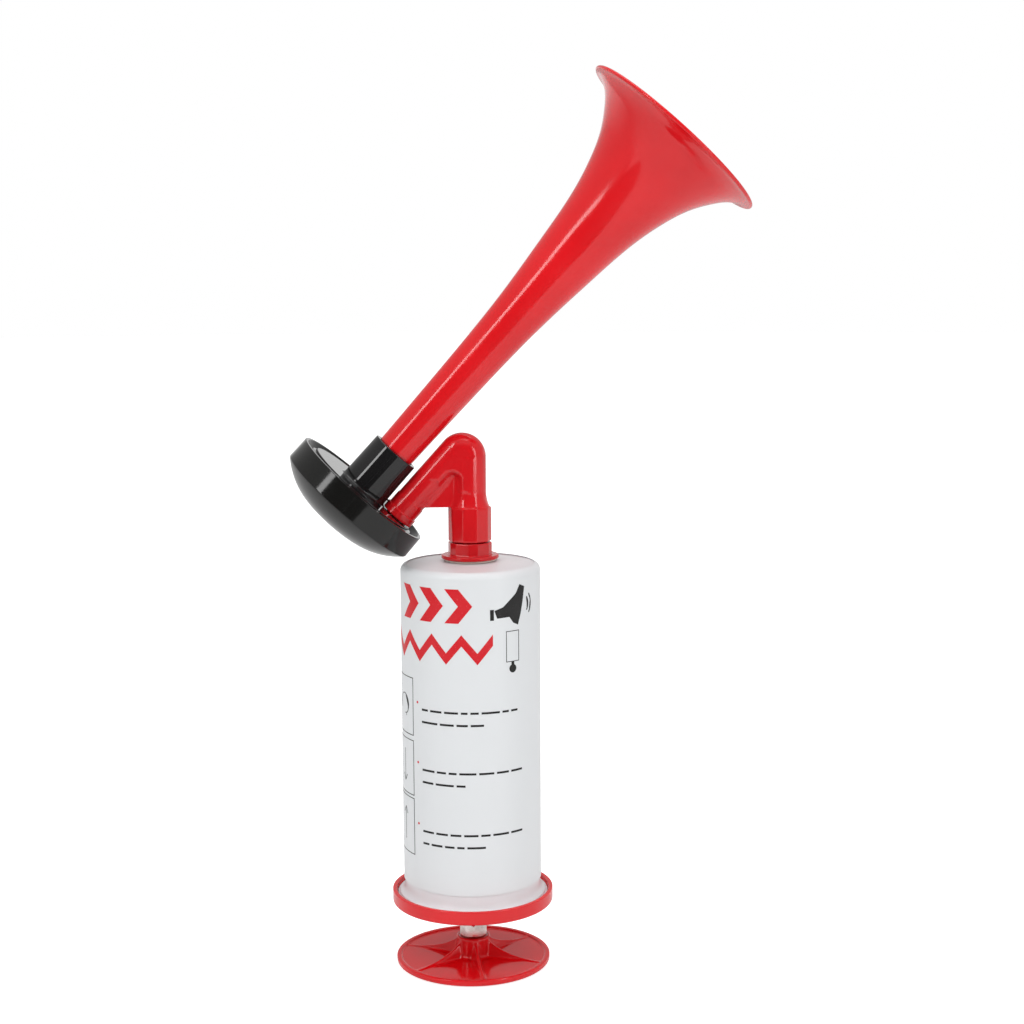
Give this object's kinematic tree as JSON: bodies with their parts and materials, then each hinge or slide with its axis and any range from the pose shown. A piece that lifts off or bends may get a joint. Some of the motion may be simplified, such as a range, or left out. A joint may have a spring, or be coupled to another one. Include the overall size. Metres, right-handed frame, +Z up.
{
  "type": "hand pump air horn",
  "caption": "Hand-pump air horn: a palm disc pushes a piston through a barrel, and the air sounds a diaphragm behind a trumpet horn.",
  "frame": {"origin": "centre of the palm disc's flat underside, on the pump axis, with the handle pushed in", "axes": "+Z up along the pump axis, from the palm disc to the outlet; +X towards the horn's mouth, which leans up over the pump; +Y across the horn's plane of symmetry"},
  "size_m": [0.1626, 0.0726, 0.3208],
  "materials": {
    "red_plastic": "glossy injection-moulded plastic",
    "dark_red_plastic": "glossy injection-moulded plastic, deeper red",
    "white_plastic": "satin white moulded plastic",
    "label_film": "printed shrink film",
    "black_plastic": "semi-gloss moulded plastic",
    "seal_rubber": "moulded nitrile rubber",
    "nylon": "natural nylon",
    "steel": "drawn bright steel",
    "zinc_plate": "bright zinc plate",
    "polyester_film": "stiff polyester sheet"
  },
  "bodies": {
    "handle": {"handle_disc": "dark_red_plastic", "piston_rod": "steel", "handle_nut": "zinc_plate", "piston_nut_lower": "zinc_plate", "piston_nut_upper": "zinc_plate"},
    "piston": {"piston": "nylon", "cup_seal": "seal_rubber", "seal_retainer": "steel", "piston_washer": "steel"},
    "pump": {"pump_cylinder": "white_plastic", "label_sleeve": "label_film", "base_cap": "red_plastic", "rod_bush": "nylon", "stop_bumper": "seal_rubber", "outlet_neck": "red_plastic", "neck_gasket": "nylon", "neck_backnut": "zinc_plate", "return_spring": "steel"},
    "socket_seal": {"socket_seal": "seal_rubber"},
    "horn_head": {"elbow_pipe": "red_plastic", "diaphragm_housing": "black_plastic", "horn_bell": "red_plastic", "diaphragm": "polyester_film"},
    "clamp_ring": {"clamp_ring": "nylon"},
    "back_cap": {"back_cap": "black_plastic"}
  },
  "joints": [
    {"name": "handle_turn", "type": "hinge", "parent": "handle", "child": "piston", "pos_m": [0, 0, 0], "axis": [0, 0, 1], "continuous": true},
    {"name": "pump_stroke", "type": "slide", "parent": "piston", "child": "pump", "axis": [0, 0, 1], "range_m": [0, 0.083], "deforming": ["return_spring"]},
    {"name": "horn_lift", "type": "slide", "parent": "pump", "child": "socket_seal", "axis": [0, 0, 1], "range_m": [0, 0.009]},
    {"name": "horn_unscrew", "type": "hinge", "parent": "socket_seal", "child": "horn_head", "pos_m": [0, 0, 0.16], "axis": [0, 0, 1], "range_deg": [0, 1080]},
    {"name": "cap_lift", "type": "slide", "parent": "horn_head", "child": "clamp_ring", "axis": [-0.6696, 0, -0.7427], "range_m": [0, 0.0045]},
    {"name": "cap_unscrew", "type": "hinge", "parent": "clamp_ring", "child": "back_cap", "pos_m": [-0.04018, 0, 0.17164], "axis": [-0.6696, 0, -0.7427], "range_deg": [0, 540]}
  ],
  "couplings": [
    {"joint": "horn_unscrew", "follows": "horn_lift", "rad_per_m": 2094.4},
    {"joint": "cap_unscrew", "follows": "cap_lift", "rad_per_m": 2094.4}
  ]
}
